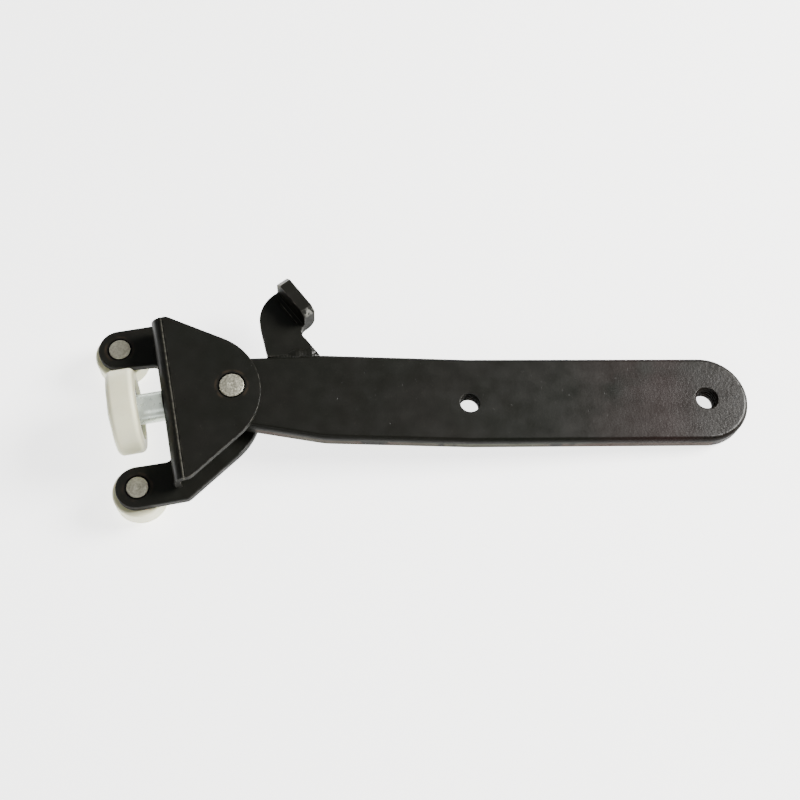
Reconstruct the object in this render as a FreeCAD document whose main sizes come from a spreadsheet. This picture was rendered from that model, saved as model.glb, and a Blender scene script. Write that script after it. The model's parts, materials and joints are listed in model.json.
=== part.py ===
import FreeCAD, Part
import math
import os
import re
import Sketcher
from FreeCAD import Placement, Rotation, Vector

# Sliding door roller: a flat steel arm that bolts to the door with two tapped holes, and a
# bracket that swivels on the arm's end and carries one load roller and two guide rollers.
#
# Frame: the origin is midway between the two tapped holes, on the arm's underside. +X runs
# along the line of holes away from the pivot, +Z is up along the pivot pin. Millimetres.

doc = FreeCAD.newDocument("sliding_door_roller")

# Driving dimensions: name, value, meaning. Lengths in millimetres, angles in degrees.
DRIVING = [
    # arm
    ("hole_spacing", 80.0, "between the two tapped holes"),
    ("tap_drill_radius", 3.4, "tapping drill for an M8 thread"),
    ("outer_hole_chamfer", 0.6, "chamfer round the upper mouth of the outer hole"),
    ("arm_width", 30.0, "flat bar width"),
    ("arm_thickness", 6.0, "flat bar thickness"),
    ("arm_upper_round", 1.6, "rolled upper edge of the bar"),
    ("arm_lower_round", 0.6, "lower edge of the bar"),
    ("arm_tip", 54.3, "from the origin to the rounded tip"),
    ("outer_run_slope", 0.8, "fall of the outer run against the hole line"),
    ("inner_run_slope", 2.8, "fall of the inner run against the hole line"),
    ("crank_rise", 1.2, "centreline above the hole line where the arm is cranked"),
    ("neck_start", 30.0, "from the pivot to where the arm starts to narrow"),
    ("eye_radius", 11.6, "rounded end of the arm about the pivot"),
    ("pivot_reach", 118.0, "from the origin to the pivot, along the hole line"),
    ("pivot_offset", 6.1, "from the hole line to the pivot, square to it"),
    ("bush_radius", 5.4, "outside of the pivot bush"),
    # catch lug on the arm's edge
    ("lug_root_left", -106.6, "left end of the lug's root, along the hole line"),
    ("lug_root_right", -89.4, "right end of the lug's root, along the hole line"),
    ("lug_back_x", -109.2, "where the lug's back starts to curve"),
    ("lug_back_y", 30.0, "where the lug's back starts to curve"),
    ("lug_bulge_x", -107.9, "middle of the curved back"),
    ("lug_bulge_y", 37.4, "middle of the curved back"),
    ("bend_left_x", -103.3, "outer end of the tab's bend"),
    ("bend_left_y", 42.2, "outer end of the tab's bend"),
    ("bend_right_x", -94.15, "inner end of the tab's bend"),
    ("bend_right_y", 29.6, "inner end of the tab's bend"),
    ("lug_waist_x", -95.2, "narrowest place under the tab"),
    ("lug_waist_y", 27.0, "narrowest place under the tab"),
    ("lug_flare_x", -93.9, "where the lug starts to widen to its root"),
    ("lug_flare_y", 24.6, "where the lug starts to widen to its root"),
    ("flange_bend", 0.6, "inside of the tab's bend"),
    ("lug_thickness", 4.2, "steel plate of the catch lug"),
    ("lug_drop", 0.3, "lug's upper face below the arm's"),
    ("flange_rise", 7.2, "bent tab above the lug's upper face"),
    ("flange_clip", 1.8, "clipped corners of the bent tab"),
    ("tab_mark", 1.6, "from the tab's bend to the die mark along it"),
    # bracket
    ("rest_swing", 9.5, "bracket's turn from straight ahead, at rest"),
    ("cover_sheet", 2.0, "sheet of the cover plate"),
    ("ear_sheet", 3.0, "sheet of the ear plate"),
    ("pivot_gap", 1.5, "between the arm and each plate"),
    ("nose_reach", 9.2, "both plates' nose beyond the pivot"),
    ("flank_angle", 33.5, "each flank against the bracket's centreline"),
    ("cover_flank", 14.35, "from the pivot to the cover's flank"),
    ("ear_flank", 16.0, "from the pivot to the ear plate's flank"),
    ("web_reach", 22.8, "from the pivot to the web's outer face"),
    ("web_half", 28.8, "half the length of the web"),
    ("bend_radius", 2.0, "inside of the bend between cover and web"),
    ("web_foot_round", 4.0, "lower corners of the web"),
    ("shoulder_round", 3.0, "corners where a flank meets the sides"),
    ("root_round", 2.2, "roots of the notch between the ears"),
    ("plate_edge_round", 0.35, "worn edges of the ear plate"),
    ("crease_width", 0.5, "die marks along the bends"),
    ("crease_depth", 0.18, "depth of the die marks"),
    ("ear_reach", 35.0, "from the pivot to the guide pins"),
    ("ear_half_spacing", 25.0, "half the distance between the guide pins"),
    ("ear_radius", 7.0, "rounded end of each ear"),
    ("notch_floor", 22.8, "from the pivot to the floor of the notch between the ears"),
    ("notch_right", 17.1, "from the centreline to the notch's corner on the lug's side"),
    ("notch_left", 18.2, "from the centreline to the notch's corner on the other side"),
    # pins
    ("pivot_pin_radius", 4.0, "pivot pin's shank"),
    ("pivot_head_radius", 6.5, "head under the ear plate"),
    ("pivot_head_height", 2.4, "head under the ear plate"),
    ("guide_pin_radius", 3.5, "guide pin's shank"),
    ("guide_head_radius", 5.5, "head under the guide roller"),
    ("guide_head_height", 1.5, "head under the guide roller"),
    ("rivet_gap", 0.15, "seam between a riveted end and its plate"),
    ("rivet_crown", 0.12, "riveted end above its plate"),
    ("pin_round", 0.5, "rounded rims of pin heads"),
    ("running_gap", 0.05, "radial clearance of a shaft that turns"),
    ("side_gap", 0.2, "axial clearance of a part that turns"),
    ("washer_play", 0.2, "play left by the pivot washers"),
    ("pivot_washer_radius", 8.0, "outside of the pivot washers"),
    # guide rollers
    ("guide_radius", 8.7, "outside of a guide roller"),
    ("guide_height", 8.0, "height of a guide roller"),
    ("guide_round", 1.0, "rounded rims of a guide roller"),
    ("sleeve_radius", 4.75, "outside of the sleeve in a guide roller"),
    ("guide_washer", 0.5, "washer between ear and guide roller"),
    ("guide_washer_radius", 6.0, "outside of that washer"),
    # load roller on its stub axle
    ("axle_height", 2.3, "load axle above the arm's underside"),
    ("axle_shoulder_radius", 5.0, "shoulder between web and bearing"),
    ("axle_tenon_radius", 2.7, "tenon riveted through the web"),
    ("axle_head_radius", 3.2, "riveted head inside the web"),
    ("axle_head_height", 1.2, "riveted head inside the web"),
    ("journal_radius", 4.0, "journal in the bearing"),
    ("end_head_radius", 4.9, "riveted head outside the washer"),
    ("end_head_height", 1.1, "riveted head outside the washer"),
    ("load_washer", 1.0, "washer outside the bearing"),
    ("load_washer_radius", 6.0, "outside of that washer"),
    ("load_radius", 14.0, "outside of the load roller"),
    ("load_width", 9.0, "width of the load roller"),
    ("load_centre", 34.85, "from the pivot to the middle of the load roller"),
    ("load_round", 1.9, "rounded rims of the load roller"),
    ("lip_radius", 10.0, "lips of the load roller that hold the bearing"),
    ("bearing_start", 31.35, "from the pivot to the bearing's inner side"),
    ("bearing_width", 7.0, "ball bearing"),
    ("bearing_radius", 11.0, "outside of the ball bearing"),
    ("inner_ring_radius", 6.2, "outside of the inner ring"),
    ("outer_ring_bore", 8.8, "inside of the outer ring"),
    ("pitch_radius", 7.5, "circle of the ball centres"),
    ("ball_radius", 1.93, "bearing balls"),
    ("race_radius", 2.02, "groove that the balls run in"),
    ("shield_inset", 0.4, "shield from the bearing's side"),
    ("shield_sheet", 0.35, "sheet of the shields"),
    ("shield_bore", 6.55, "inside of the shields"),
    ("cage_half_width", 1.2, "half the width of the ball cage"),
    ("cage_wall", 0.6, "thickness of the ball cage"),
]
BALLS = 7

# Dimensions worked out from the driving ones, as sheet formulas.
DERIVED = [
    ("cover_under", "=arm_thickness + pivot_gap"),
    ("cover_top", "=cover_under + cover_sheet"),
    ("ear_top", "=-pivot_gap"),
    ("ear_under", "=ear_top - ear_sheet"),
    ("guide_top", "=ear_under - guide_washer - side_gap / 2"),
    ("guide_foot", "=guide_top - guide_height"),
    ("guide_head_top", "=guide_foot - side_gap"),
    ("pivot_hole_radius", "=pivot_pin_radius + rivet_gap"),
    ("guide_hole_radius", "=guide_pin_radius + rivet_gap"),
    ("web_inside", "=web_reach - cover_sheet"),
    ("fold_line", "=web_reach - cover_sheet - bend_radius"),
    ("bearing_end", "=bearing_start + bearing_width"),
    ("bearing_middle", "=bearing_start + bearing_width / 2"),
    ("washer_end", "=bearing_end + load_washer"),
    ("load_start", "=load_centre - load_width / 2"),
    ("load_end", "=load_centre + load_width / 2"),
    ("lug_top", "=arm_thickness - lug_drop"),
    ("lug_under", "=lug_top - lug_thickness"),
]

sheet = doc.addObject("Spreadsheet::Sheet", "Sizes")
for row, (name, amount, meaning) in enumerate(DRIVING, start=1):
    sheet.set(f"A{row}", name)
    sheet.set(f"B{row}", str(amount))
    sheet.set(f"C{row}", meaning)
    sheet.setAlias(f"B{row}", name)
for row, (name, formula) in enumerate(DERIVED, start=len(DRIVING) + 1):
    sheet.set(f"A{row}", name)
    sheet.set(f"B{row}", formula)
    sheet.setAlias(f"B{row}", name)
doc.recompute()

NAMES = {entry[0] for entry in DRIVING + DERIVED}


def size(name):
    """The sheet's value of one dimension."""
    return float(sheet.get(name))


def linked(formula):
    """A formula of plain dimension names, written as the expression engine reads it."""
    return re.sub("[a-z_]+", lambda word: f"Sizes.{word[0]}" if word[0] in NAMES else word[0], formula)


def bind(thing, field, formula):
    thing.setExpression(field, linked(formula))


def value(thing, formula):
    """What a formula gives, for placing geometry before its constraints take over."""
    return float(thing.evalExpression(linked(formula)))


# How far an edge may stand from where a test looks for it.
CLOSE = 0.02

# ---------------------------------------------------------------- sketch and body helpers


def new_body(label):
    body = doc.addObject("PartDesign::Body", label)
    body.Label = label
    return body


def sketch_on(body, name, role, height=None):
    """A sketch on one of the body's origin planes, raised by a formula along its normal."""
    plane = [f for f in body.Origin.OriginFeatures if f.Role == role][0]
    sketch = body.newObject("Sketcher::SketchObject", name)
    sketch.AttachmentSupport = [(plane, "")]
    sketch.MapMode = "FlatFace"
    if height is not None:
        bind(sketch, "AttachmentOffset.Base.z", height)
    return sketch


def pin_point(sketch, geometry, corner, x_formula, y_formula):
    """Fixes one point of the sketch by two distances bound to the sheet."""
    for kind, formula in (("DistanceX", x_formula), ("DistanceY", y_formula)):
        number = sketch.addConstraint(
            Sketcher.Constraint(kind, -1, 1, geometry, corner, value(sketch, formula))
        )
        bind(sketch, f"Constraints[{number}]", formula)


def closed_outline(sketch, corners):
    """Straight sides through corners given as pairs of formulas."""
    places = [Vector(value(sketch, x), value(sketch, y), 0) for x, y in corners]
    sides = []
    for start, end in zip(places, places[1:] + places[:1]):
        sides.append(sketch.addGeometry(Part.LineSegment(start, end), False))
    for side, following in zip(sides, sides[1:] + sides[:1]):
        sketch.addConstraint(Sketcher.Constraint("Coincident", side, 2, following, 1))
    for side, (x, y) in zip(sides, corners):
        pin_point(sketch, side, 1, x, y)


def circle(sketch, x_formula, y_formula, radius_formula):
    centre = Vector(value(sketch, x_formula), value(sketch, y_formula), 0)
    radius = value(sketch, radius_formula)
    number = sketch.addGeometry(Part.Circle(centre, Vector(0, 0, 1), radius), False)
    pin_point(sketch, number, 3, x_formula, y_formula)
    constraint = sketch.addConstraint(Sketcher.Constraint("Radius", number, radius))
    bind(sketch, f"Constraints[{constraint}]", radius_formula)


def pad(body, sketch, height):
    feature = body.newObject("PartDesign::Pad", f"{sketch.Name}_pad")
    feature.Profile = sketch
    bind(feature, "Length", height)
    doc.recompute()
    return feature


def pocket_through(body, sketch):
    """Cuts the sketch right through the body, upwards from the sketch's plane."""
    before = body.Shape.Volume
    feature = body.newObject("PartDesign::Pocket", f"{sketch.Name}_cut")
    feature.Profile = sketch
    feature.Type = "ThroughAll"
    feature.Reversed = True
    doc.recompute()
    if body.Shape.Volume >= before:
        raise RuntimeError(f"{sketch.Name} removes nothing from {body.Label}")
    return feature


def edges_where(body, test):
    """Names of the body's edges whose curve passes the test."""
    return [f"Edge{i}" for i, edge in enumerate(body.Shape.Edges, 1) if test(edge)]


def soften(body, kind, field, formula, test):
    """Fillet or chamfer on the edges that pass the test."""
    names = edges_where(body, test)
    if not names:
        raise RuntimeError(f"no edge found for a {kind} on {body.Label}")
    base = body.Tip
    feature = body.newObject(f"PartDesign::{kind}", f"{body.Label}_{kind.lower()}")
    feature.Base = (base, names)
    bind(feature, field, formula)
    doc.recompute()
    if "Invalid" in feature.State:
        raise RuntimeError(f"the {kind} on {body.Label} failed")
    return feature


def upright_at(x, y):
    """Test for a vertical edge that stands at x, y."""
    return lambda edge: len(edge.Vertexes) == 2 and all(
        abs(v.Point.x - x) < CLOSE and abs(v.Point.y - y) < CLOSE for v in edge.Vertexes
    )


def level_at(*heights):
    """Test for an edge that lies wholly at one of the heights."""
    return lambda edge: any(
        abs(edge.BoundBox.ZMin - z) < CLOSE and abs(edge.BoundBox.ZMax - z) < CLOSE
        for z in heights
    )


def ring_edge(radius, height):
    """Test for a circular edge of one radius at one height."""
    return lambda edge: (
        isinstance(edge.Curve, Part.Circle)
        and abs(edge.Curve.Radius - radius) < CLOSE
        and abs(edge.Curve.Center.z - height) < CLOSE
    )


def turned(label, profile):
    """A lathe part about its own Z: profile is a list of (radius, height) formulas."""
    body = new_body(label)
    sketch = sketch_on(body, f"{label}_profile", "XZ_Plane")
    closed_outline(sketch, profile)
    feature = body.newObject("PartDesign::Revolution", f"{label}_turned")
    feature.Profile = sketch
    feature.ReferenceAxis = (sketch, ["V_Axis"])
    feature.Angle = 360
    doc.recompute()
    return body


def tube(label, inner, outer, low, high):
    return turned(label, [(inner, low), (outer, low), (outer, high), (inner, high)])


# ---------------------------------------------------------------- places of the pieces

PIVOT = Placement(Vector(-size("pivot_reach"), size("pivot_offset"), 0), Rotation())
# The bracket's own frame: X from the pivot towards the rollers, Z up.
BRACKET = PIVOT * Placement(Vector(), Rotation(Vector(0, 0, 1), 180 + size("rest_swing")))
# The load axle's frame: its Z is the bracket's X, at the axle's height.
LOAD_AXIS = BRACKET * Placement(
    Vector(0, 0, size("axle_height")), Rotation(Vector(0, 1, 0), 90)
)


def guide_place(side):
    """Guide pin's frame: side is -1 on the lug's side of the arm and +1 on the other."""
    return BRACKET * Placement(
        Vector(size("ear_reach"), side * size("ear_half_spacing"), 0), Rotation()
    )


GUIDE_SIDES = (("right", -1), ("left", 1))

# ---------------------------------------------------------------- arm


def path(sketch, stations):
    """A closed outline. A station is a point, or a point and one that the arc to the next passes."""
    for here, following in zip(stations, stations[1:] + stations[:1]):
        start, via = here if isinstance(here, tuple) else (here, None)
        end = following[0] if isinstance(following, tuple) else following
        curve = Part.LineSegment(start, end) if via is None else Part.Arc(start, via, end)
        sketch.addGeometry(curve, False)
    for i, here in enumerate(stations):
        after = (i + 1) % len(stations)
        if not isinstance(here, tuple) and not isinstance(stations[after], tuple):
            sketch.addConstraint(Sketcher.Constraint("Coincident", i, 2, after, 1))


def arm_corners():
    """The bar's corners: the neck and crank on both sides, the tip and the eye."""
    half = size("arm_width") / 2
    outer_fall = math.tan(math.radians(size("outer_run_slope")))
    inner_fall = math.tan(math.radians(size("inner_run_slope")))
    crank = Vector(-size("hole_spacing") / 2, size("crank_rise"), 0)
    end_x = size("arm_tip") - half
    end = Vector(end_x, crank.y - outer_fall * (end_x - crank.x), 0)
    neck_x = PIVOT.Base.x + size("neck_start")
    neck = Vector(neck_x, crank.y + inner_fall * (crank.x - neck_x), 0)
    return crank, end, neck, Vector(0, half, 0)


def eye_touch(point, side):
    """Where the line from a point touches the round eye, on its upper (+1) or lower (-1) side."""
    reach = point - PIVOT.Base
    opening = math.acos(size("eye_radius") / reach.Length)
    angle = math.atan2(reach.y, reach.x) + side * opening
    return PIVOT.Base + Vector(math.cos(angle), math.sin(angle), 0) * size("eye_radius")


def make_arm():
    crank, end, neck, across = arm_corners()
    upper, lower = eye_touch(neck + across, 1), eye_touch(neck - across, -1)
    eye_back = PIVOT.Base - Vector(size("eye_radius"), 0, 0)
    arm = new_body("arm_bar")
    outline = sketch_on(arm, "arm_outline", "XY_Plane")
    stations = [
        upper,
        neck + across,
        crank + across,
        (end + across, Vector(size("arm_tip"), end.y, 0)),
        end - across,
        crank - across,
        neck - across,
        (lower, eye_back),
    ]
    path(outline, stations)
    pad(arm, outline, "arm_thickness")
    soften(arm, "Fillet", "Radius", "arm_width", upright_at(*(neck - across)[:2]))
    holes = sketch_on(arm, "arm_holes", "XY_Plane")
    circle(holes, "-hole_spacing / 2", "0", "tap_drill_radius")
    circle(holes, "hole_spacing / 2", "0", "tap_drill_radius")
    circle(holes, "-pivot_reach", "pivot_offset", "bush_radius")
    soften(arm, "Fillet", "Radius", "arm_upper_round", level_at(size("arm_thickness")))
    soften(arm, "Fillet", "Radius", "arm_lower_round", level_at(0))
    pocket_through(arm, holes)

    def outer_mouth(edge):
        """Test for the outer hole's upper rim."""
        rim = ring_edge(size("tap_drill_radius"), size("arm_thickness"))
        return rim(edge) and edge.Curve.Center.x > 0

    soften(arm, "Chamfer", "Size", "outer_hole_chamfer", outer_mouth)


def make_lug():
    """Plate welded to the arm's edge, with its free end bent up into a tab."""
    crank, end, neck, across = arm_corners()
    top_of_neck, top_of_eye = neck + across, eye_touch(neck + across, 1)

    def on_edge(x):
        share = (x - top_of_eye.x) / (top_of_neck.x - top_of_eye.x)
        return top_of_eye + (top_of_neck - top_of_eye) * share

    def cell_point(name):
        return Vector(size(f"{name}_x"), size(f"{name}_y"), 0)

    lug = new_body("catch_lug")
    outline = sketch_on(lug, "lug_outline", "XY_Plane", "lug_under")
    bend_left, bend_right = cell_point("bend_left"), cell_point("bend_right")
    stations = [
        on_edge(size("lug_root_left")),
        (cell_point("lug_back"), cell_point("lug_bulge")),
        bend_left,
        (bend_right, cell_point("lug_waist")),
        cell_point("lug_flare"),
        on_edge(size("lug_root_right")),
    ]
    path(outline, stations)
    pad(lug, outline, "lug_thickness")
    along = (bend_right - bend_left).normalize()
    outward = Vector(-along.y, along.x, 0)
    mark = sketch_on(lug, "tab_mark_outline", "XY_Plane", "lug_top - crease_depth")
    near, far = outward * -size("tab_mark"), outward * -(size("tab_mark") + size("crease_width"))
    inset = along * (size("lug_thickness") / 2)
    path(
        mark,
        [
            bend_left + near + inset,
            bend_left + far + inset,
            bend_right + far - inset,
            bend_right + near - inset,
        ],
    )
    pocket_through(lug, mark)
    depth = outward * size("lug_thickness")
    tab = sketch_on(lug, "tab_outline", "XY_Plane", "lug_under")
    path(tab, [bend_left, bend_left + depth, bend_right + depth, bend_right])
    pad(lug, tab, "lug_thickness + flange_rise")
    tab_top = size("lug_top") + size("flange_rise")

    def bend_edge(offset, height):
        """Test for the edge along the bend at one distance from it and one height."""
        return lambda edge: len(edge.Vertexes) == 2 and all(
            abs((v.Point - bend_left).dot(outward) - offset) < CLOSE
            and abs(v.Point.z - height) < CLOSE
            for v in edge.Vertexes
        )

    def corner_edge(edge):
        """Test for the short edges across the tab's thickness at its top."""
        if len(edge.Vertexes) != 2 or abs(edge.BoundBox.ZMin - tab_top) > CLOSE:
            return False
        run = edge.Vertexes[1].Point - edge.Vertexes[0].Point
        return abs(run.normalize().dot(along)) < CLOSE

    soften(lug, "Fillet", "Radius", "flange_bend", bend_edge(0, size("lug_top")))
    soften(
        lug,
        "Fillet",
        "Radius",
        "lug_thickness * 0.85",
        bend_edge(size("lug_thickness"), size("lug_under")),
    )
    soften(lug, "Chamfer", "Size", "flange_clip", corner_edge)


# ---------------------------------------------------------------- bracket plates


def nose_touch(flank):
    """Where the round nose of a plate, tangent to both flanks, meets the upper flank."""
    slope = math.radians(size("flank_angle"))
    centre_x = (flank - size("nose_reach")) / (1 - math.sin(slope))
    radius = size("nose_reach") + centre_x
    return Vector(centre_x - radius * math.sin(slope), radius * math.cos(slope), 0)


def flank_end(flank, half):
    """Where a flank reaches a given distance from the bracket's centreline."""
    slope = math.radians(size("flank_angle"))
    return Vector((half * math.cos(slope) - flank) / math.sin(slope), half, 0)


def mirrored(point):
    return Vector(point.x, -point.y, point.z)


def make_cover():
    """Cover plate: a rounded triangle of sheet, with its long side bent down into the web."""
    half = size("web_half")
    touch = nose_touch(size("cover_flank"))
    shoulder = flank_end(size("cover_flank"), half)
    nose = Vector(-size("nose_reach"), 0, 0)
    web_corner = Vector(size("web_reach"), half, 0)
    cover = new_body("cover_plate")
    outline = sketch_on(cover, "cover_outline", "XY_Plane", "cover_under")
    stations = [
        touch,
        shoulder,
        web_corner,
        mirrored(web_corner),
        mirrored(shoulder),
        (mirrored(touch), nose),
    ]
    path(outline, stations)
    pad(cover, outline, "cover_sheet")
    web = sketch_on(cover, "web_outline", "XY_Plane", "ear_top")
    closed_outline(
        web,
        [
            ("web_inside", "-web_half"),
            ("web_reach", "-web_half"),
            ("web_reach", "web_half"),
            ("web_inside", "web_half"),
        ],
    )
    pad(cover, web, "cover_top - ear_top")
    pivot_hole = sketch_on(cover, "cover_pivot_hole", "XY_Plane")
    circle(pivot_hole, "0", "0", "pivot_hole_radius")
    pocket_through(cover, pivot_hole)

    def along_web(x, z):
        """Test for the long edge of the web at one reach and height."""
        level = level_at(z)
        return lambda edge: (
            level(edge)
            and edge.BoundBox.YLength > half
            and abs(edge.BoundBox.XMin - x) < CLOSE
            and abs(edge.BoundBox.XMax - x) < CLOSE
        )

    def web_foot(edge):
        """Test for the two short edges at the web's lower corners."""
        across_web = edge.BoundBox.XLength > size("cover_sheet") / 2
        at_end = abs(abs(edge.BoundBox.Center.y) - half) < CLOSE
        return across_web and at_end and edge.BoundBox.YLength < CLOSE and level_at(size("ear_top"))(edge)

    inner_bend = along_web(size("web_inside"), size("cover_under"))
    soften(cover, "Fillet", "Radius", "bend_radius", inner_bend)
    outer_bend = along_web(size("web_reach"), size("cover_top"))
    soften(cover, "Fillet", "Radius", "bend_radius + cover_sheet", outer_bend)
    soften(cover, "Fillet", "Radius", "web_foot_round", web_foot)
    tenon_hole = sketch_on(cover, "web_tenon_hole", "YZ_Plane")
    circle(tenon_hole, "0", "axle_height", "axle_tenon_radius")
    pocket_through(cover, tenon_hole)
    for corner in (shoulder, mirrored(shoulder)):
        soften(cover, "Fillet", "Radius", "shoulder_round", upright_at(corner.x, corner.y))
    crease = sketch_on(cover, "crease_outline", "XY_Plane", "cover_top - crease_depth")
    closed_outline(
        crease,
        [
            ("fold_line", "-web_half * 2"),
            ("fold_line + crease_width", "-web_half * 2"),
            ("fold_line + crease_width", "web_half * 2"),
            ("fold_line", "web_half * 2"),
        ],
    )
    pocket_through(cover, crease)
    cover.Placement = BRACKET


def make_ear_plate():
    """Plate under the arm, with two ears that hold the guide pins."""
    outer = size("ear_half_spacing") + size("ear_radius")
    inner = size("ear_half_spacing") - size("ear_radius")
    touch = nose_touch(size("ear_flank"))
    shoulder = flank_end(size("ear_flank"), outer)
    nose = Vector(-size("nose_reach"), 0, 0)
    ear_outside = Vector(size("ear_reach"), outer, 0)
    ear_tip = Vector(size("ear_reach") + size("ear_radius"), size("ear_half_spacing"), 0)
    ear_inside = Vector(size("ear_reach"), inner, 0)
    roots = [Vector(size("notch_floor"), size("notch_left"), 0)]
    roots.append(Vector(size("notch_floor"), -size("notch_right"), 0))
    plate = new_body("ear_plate")
    outline = sketch_on(plate, "ear_outline", "XY_Plane", "ear_under")
    stations = [
        touch,
        shoulder,
        (ear_outside, ear_tip),
        ear_inside,
        *roots,
        (mirrored(ear_inside), mirrored(ear_tip)),
        mirrored(ear_outside),
        mirrored(shoulder),
        (mirrored(touch), nose),
    ]
    path(outline, stations)
    pad(plate, outline, "ear_sheet")
    for corner in roots:
        soften(plate, "Fillet", "Radius", "root_round", upright_at(corner.x, corner.y))
    for corner in (shoulder, mirrored(shoulder)):
        soften(plate, "Fillet", "Radius", "shoulder_round", upright_at(corner.x, corner.y))
    soften(plate, "Fillet", "Radius", "plate_edge_round", level_at(size("ear_top"), size("ear_under")))
    holes = sketch_on(plate, "ear_holes", "XY_Plane", "ear_under")
    circle(holes, "0", "0", "pivot_hole_radius")
    circle(holes, "ear_reach", "ear_half_spacing", "guide_hole_radius")
    circle(holes, "ear_reach", "-ear_half_spacing", "guide_hole_radius")
    pocket_through(plate, holes)
    plate.Placement = BRACKET


# ---------------------------------------------------------------- pivot, pins and guide rollers


def headed_pin(label, radius, head_radius, head_height, head_top, end):
    """A pin with a head below, whose plain end is riveted over."""
    pin = turned(
        label,
        [
            ("0", f"{head_top} - {head_height}"),
            (head_radius, f"{head_top} - {head_height}"),
            (head_radius, head_top),
            (radius, head_top),
            (radius, f"{end} + rivet_crown"),
            ("0", f"{end} + rivet_crown"),
        ],
    )
    foot = size(head_top) - size(head_height)
    soften(pin, "Fillet", "Radius", "pin_round", ring_edge(size(head_radius), foot))
    crown = size(end) + size("rivet_crown")
    soften(pin, "Chamfer", "Size", "rivet_crown", ring_edge(size(radius), crown))
    return pin


def make_pivot():
    pin = headed_pin(
        "pivot_pin",
        "pivot_pin_radius",
        "pivot_head_radius",
        "pivot_head_height",
        "ear_under",
        "cover_top",
    )
    bush = tube("pivot_bush", "pivot_pin_radius + running_gap", "bush_radius", "0", "arm_thickness")
    bore, rim = "pivot_hole_radius", "pivot_washer_radius"
    upper = tube("pivot_washer_upper", bore, rim, "arm_thickness + washer_play", "cover_under")
    lower = tube("pivot_washer_lower", bore, rim, "ear_top", "-washer_play")
    for piece in (pin, bush, upper, lower):
        piece.Placement = PIVOT


def make_guide(side, place):
    """One guide roller with its sleeve, pin and washer."""
    pin = headed_pin(
        f"guide_pin_{side}",
        "guide_pin_radius",
        "guide_head_radius",
        "guide_head_height",
        "guide_head_top",
        "ear_top",
    )
    washer = tube(
        f"guide_washer_{side}",
        "guide_hole_radius",
        "guide_washer_radius",
        "ear_under - guide_washer",
        "ear_under",
    )
    sleeve = tube(
        f"guide_sleeve_{side}",
        "guide_pin_radius + running_gap",
        "sleeve_radius",
        "guide_foot",
        "guide_top",
    )
    roller = tube(
        f"guide_roller_{side}", "sleeve_radius", "guide_radius", "guide_foot", "guide_top"
    )
    for height in (size("guide_foot"), size("guide_top")):
        rim = ring_edge(size("guide_radius"), height)
        soften(roller, "Fillet", "Radius", "guide_round", rim)
    for piece in (pin, washer, sleeve, roller):
        piece.Placement = place


# ---------------------------------------------------------------- load roller


def race(body, name):
    """Turns the ball groove into a ring."""
    groove_circle = sketch_on(body, f"{name}_race", "XZ_Plane")
    circle(groove_circle, "pitch_radius", "bearing_middle", "race_radius")
    before = body.Shape.Volume
    groove = body.newObject("PartDesign::Groove", f"{name}_groove")
    groove.Profile = groove_circle
    groove.ReferenceAxis = (groove_circle, ["V_Axis"])
    groove.Angle = 360
    doc.recompute()
    if body.Shape.Volume >= before:
        raise RuntimeError(f"the race removes nothing from {body.Label}")


def make_axle():
    axle = turned(
        "load_axle",
        [
            ("0", "web_inside - axle_head_height"),
            ("axle_head_radius", "web_inside - axle_head_height"),
            ("axle_head_radius", "web_inside"),
            ("axle_tenon_radius", "web_inside"),
            ("axle_tenon_radius", "web_reach"),
            ("axle_shoulder_radius", "web_reach"),
            ("axle_shoulder_radius", "bearing_start"),
            ("journal_radius", "bearing_start"),
            ("journal_radius", "washer_end"),
            ("end_head_radius", "washer_end"),
            ("end_head_radius", "washer_end + end_head_height"),
            ("0", "washer_end + end_head_height"),
        ],
    )
    for radius, height in (
        ("axle_head_radius", size("web_inside") - size("axle_head_height")),
        ("end_head_radius", size("washer_end") + size("end_head_height")),
    ):
        soften(axle, "Fillet", "Radius", "pin_round", ring_edge(size(radius), height))
    washer = tube("load_washer", "journal_radius", "load_washer_radius", "bearing_end", "washer_end")
    return [axle, washer]


def make_bearing():
    """Deep-groove ball bearing: two rings, two shields, the balls and their cage."""
    inner = tube(
        "load_bearing_inner_ring",
        "journal_radius",
        "inner_ring_radius",
        "bearing_start",
        "bearing_end",
    )
    outer = tube(
        "load_bearing_outer_ring",
        "outer_ring_bore",
        "bearing_radius",
        "bearing_start",
        "bearing_end",
    )
    race(inner, "inner")
    race(outer, "outer")
    start = "bearing_start + shield_inset"
    end = "bearing_end - shield_inset"
    bore, rim = "shield_bore", "outer_ring_bore"
    near = tube("load_bearing_shield_inner", bore, rim, start, f"{start} + shield_sheet")
    far = tube("load_bearing_shield_outer", bore, rim, f"{end} - shield_sheet", end)
    return [inner, outer, near, far]


def make_balls_and_cage():
    """The balls as one group, and the cage with a pocket for each."""
    balls = []
    for number in range(BALLS):
        angle = math.radians(360 * number / BALLS)
        ball = doc.addObject("Part::Sphere", f"ball_{number + 1}")
        bind(ball, "Radius", "ball_radius")
        reach = size("pitch_radius")
        centre = Vector(reach * math.cos(angle), reach * math.sin(angle), size("bearing_middle"))
        ball.Placement = Placement(centre, Rotation())
        balls.append(ball)
    group = doc.addObject("Part::Compound", "load_bearing_balls")
    group.Links = balls
    rims = []
    for name, formula in (
        ("cage_outside", "pitch_radius + cage_wall / 2"),
        ("cage_inside", "pitch_radius - cage_wall / 2"),
    ):
        rim = doc.addObject("Part::Cylinder", name)
        bind(rim, "Radius", formula)
        bind(rim, "Height", "cage_half_width * 2")
        low = size("bearing_middle") - size("cage_half_width")
        rim.Placement = Placement(Vector(0, 0, low), Rotation())
        rims.append(rim)
    ring = doc.addObject("Part::Cut", "cage_ring")
    ring.Base, ring.Tool = rims
    cage = doc.addObject("Part::Cut", "load_bearing_cage")
    cage.Base, cage.Tool = ring, group
    doc.recompute()
    return [group, cage]


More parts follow.
